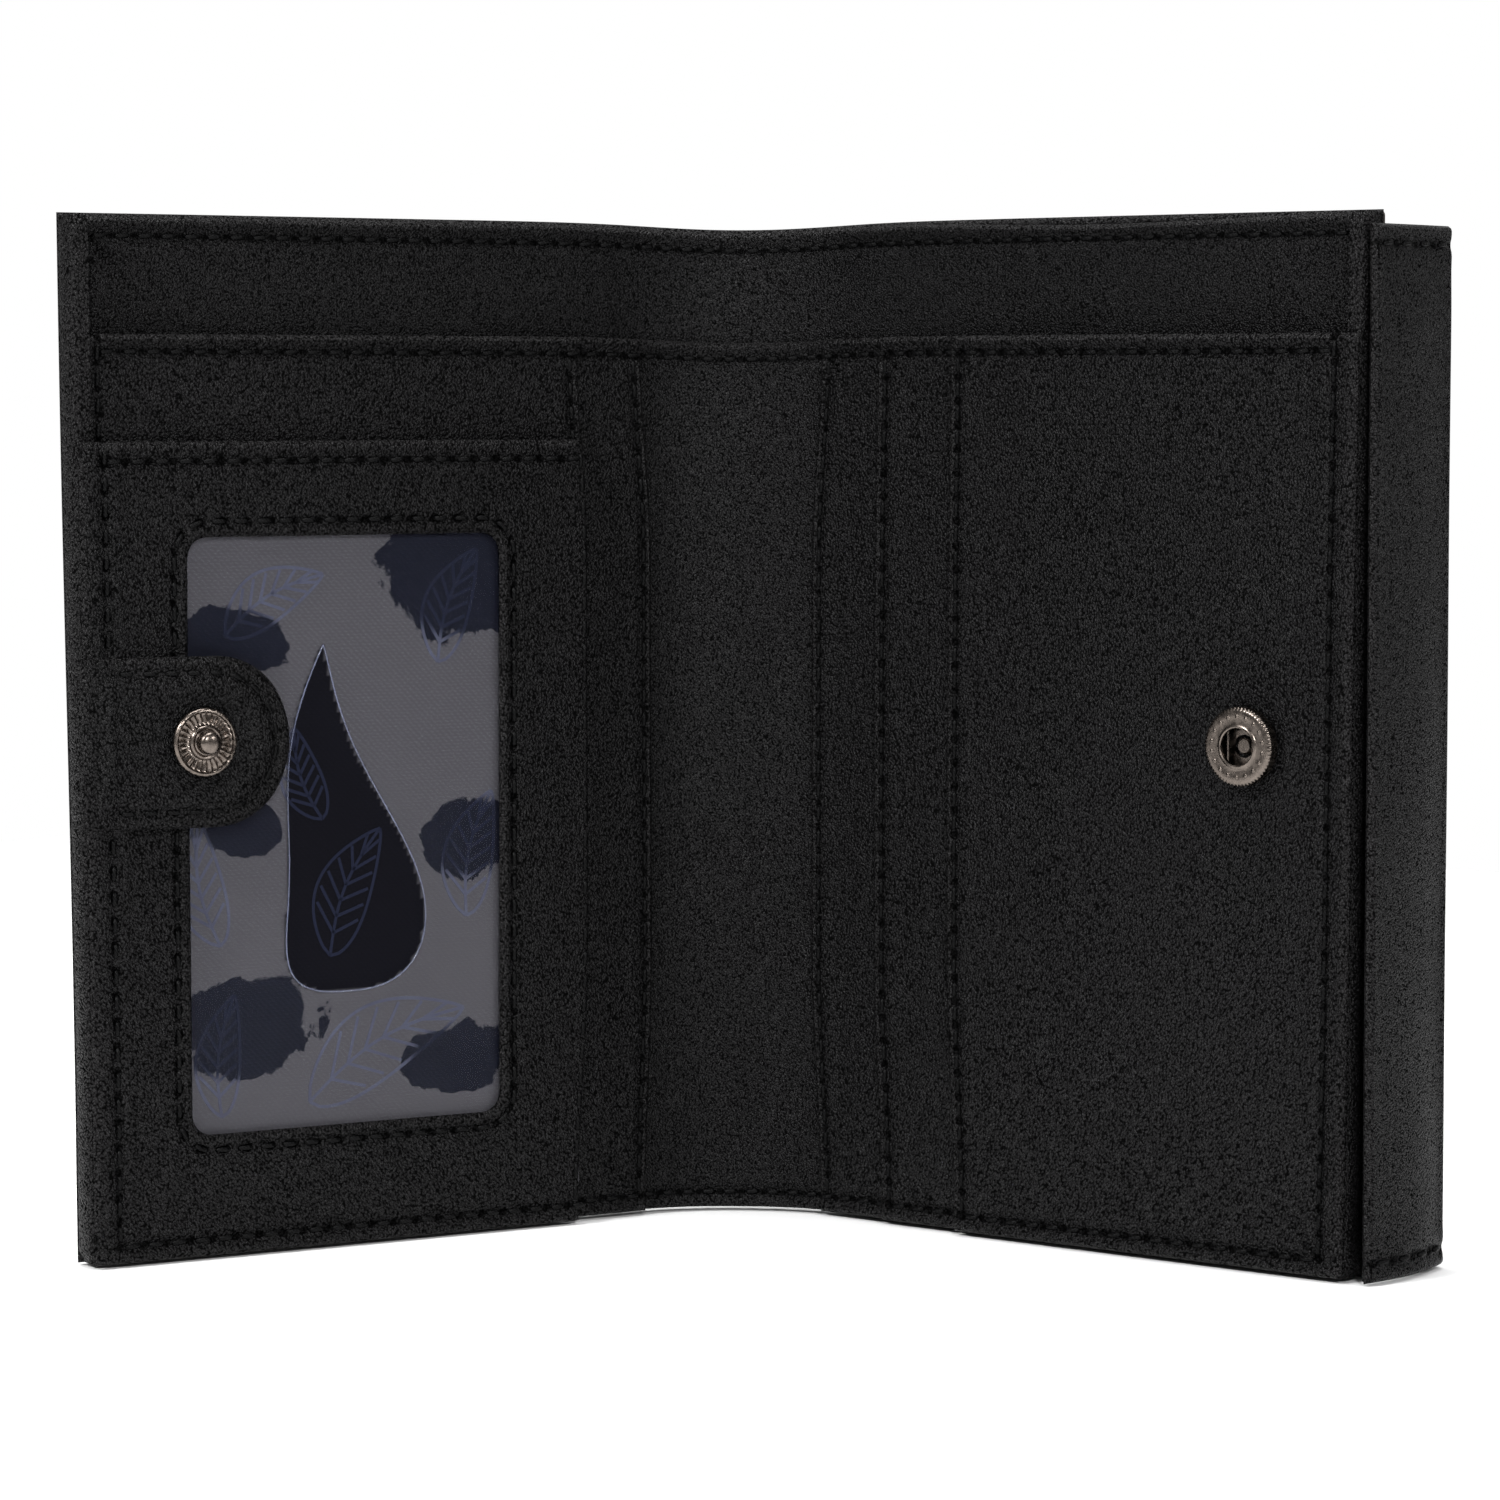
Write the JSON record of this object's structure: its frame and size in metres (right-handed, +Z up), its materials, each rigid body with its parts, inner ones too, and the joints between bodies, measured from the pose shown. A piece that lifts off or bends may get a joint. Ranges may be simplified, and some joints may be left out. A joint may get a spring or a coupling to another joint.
{
  "type": "trifold wallet",
  "caption": "Black leather trifold wallet standing open: cover with ID window and snap tab, middle leaf with card pockets, zipped coin leaf folded behind.",
  "frame": {"origin": "middle of the object's box at the height of its bottom edges, wallet standing open", "axes": "+Z up along the fold lines, +X along the middle leaf from the main spine to its free edge, +Y out of the coin leaf's back wall"},
  "size_m": [0.1316, 0.1046, 0.1272],
  "materials": {
    "pebbled_leather": "pebbled, soft sheen",
    "lining_leather": "fine grain, soft sheen",
    "woven_fabric": "matte weave",
    "printed_fabric": "printed weave",
    "clear_vinyl": "clear, glossy",
    "gunmetal": "dark plated, polished"
  },
  "bodies": {
    "middle_leaf": {"middle_outer_panel": "pebbled_leather", "middle_bill_lining": "lining_leather", "middle_bill_wall": "lining_leather", "card_pocket_back": "pebbled_leather", "card_pocket_middle": "pebbled_leather", "card_pocket_front": "pebbled_leather", "socket_body": "gunmetal", "socket_rivet": "gunmetal", "socket_spring": "gunmetal"},
    "main_spine": {"spine_outer_panel": "pebbled_leather", "spine_bill_lining": "lining_leather", "spine_bill_wall": "lining_leather"},
    "cover_leaf": {"cover_outer_panel": "pebbled_leather", "cover_bill_lining": "lining_leather", "cover_bill_wall": "lining_leather", "cover_card_pocket_back": "pebbled_leather", "cover_card_pocket_front": "pebbled_leather", "id_printed_backing": "printed_fabric", "id_window_film": "clear_vinyl", "id_pocket_front": "pebbled_leather", "tab_root": "pebbled_leather"},
    "closing_tab": {"tab_back_leather": "lining_leather", "tab_front_leather": "pebbled_leather", "stud_body": "gunmetal", "stud_rivet": "gunmetal"},
    "coin_spine": {"coin_strip_outer": "lining_leather", "coin_strip_lining": "lining_leather"},
    "coin_leaf": {"coin_back_wall": "pebbled_leather", "coin_back_lining": "woven_fabric", "coin_front_wall": "pebbled_leather", "coin_front_lining": "woven_fabric", "coin_gusset_fold_side": "lining_leather", "coin_gusset_far_side": "lining_leather", "coin_bottom_gusset": "lining_leather", "zip_tape_outer": "woven_fabric", "zip_tape_inner": "woven_fabric", "zip_teeth_outer": "gunmetal", "zip_teeth_inner": "gunmetal", "zip_top_stop": "gunmetal", "zip_bottom_stop": "gunmetal"},
    "zip_slider": {"slider_body": "gunmetal"},
    "zip_pull": {"pull_tab": "gunmetal"}
  },
  "joints": [
    {"name": "spine_fold", "type": "hinge", "parent": "middle_leaf", "child": "main_spine", "pos_m": [-0.02176, 0.03953, 0.06], "axis": [0, 0, -1], "range_deg": [-55.25, 34.75]},
    {"name": "cover_fold", "type": "hinge", "parent": "main_spine", "child": "cover_leaf", "pos_m": [-0.03572, 0.02984, 0.06], "axis": [0, 0, -1], "range_deg": [-55.25, 34.75]},
    {"name": "tab_lift", "type": "hinge", "parent": "cover_leaf", "child": "closing_tab", "pos_m": [-0.05714, -0.0497, 0.0633], "axis": [0, 0, -1], "range_deg": [0, 60]},
    {"name": "coin_spine_fold", "type": "hinge", "parent": "middle_leaf", "child": "coin_spine", "pos_m": [0.06584, 0.03433, 0.06], "axis": [0, 0, -1], "range_deg": [0, 90]},
    {"name": "coin_fold", "type": "hinge", "parent": "coin_spine", "child": "coin_leaf", "pos_m": [0.06584, 0.05233, 0.06], "axis": [0, 0, -1], "range_deg": [0, 90]},
    {"name": "zip_slide", "type": "slide", "parent": "coin_leaf", "child": "zip_slider", "axis": [-1, 0, 0], "range_m": [0, 0.066]},
    {"name": "pull_swing", "type": "hinge", "parent": "zip_slider", "child": "zip_pull", "pos_m": [0.05784, 0.04648, 0.12595], "axis": [0, 1, 0], "range_deg": [0, 170]}
  ],
  "couplings": [
    {"joint": "cover_fold", "follows": "spine_fold", "ratio": 1},
    {"joint": "coin_fold", "follows": "coin_spine_fold", "ratio": 1}
  ]
}
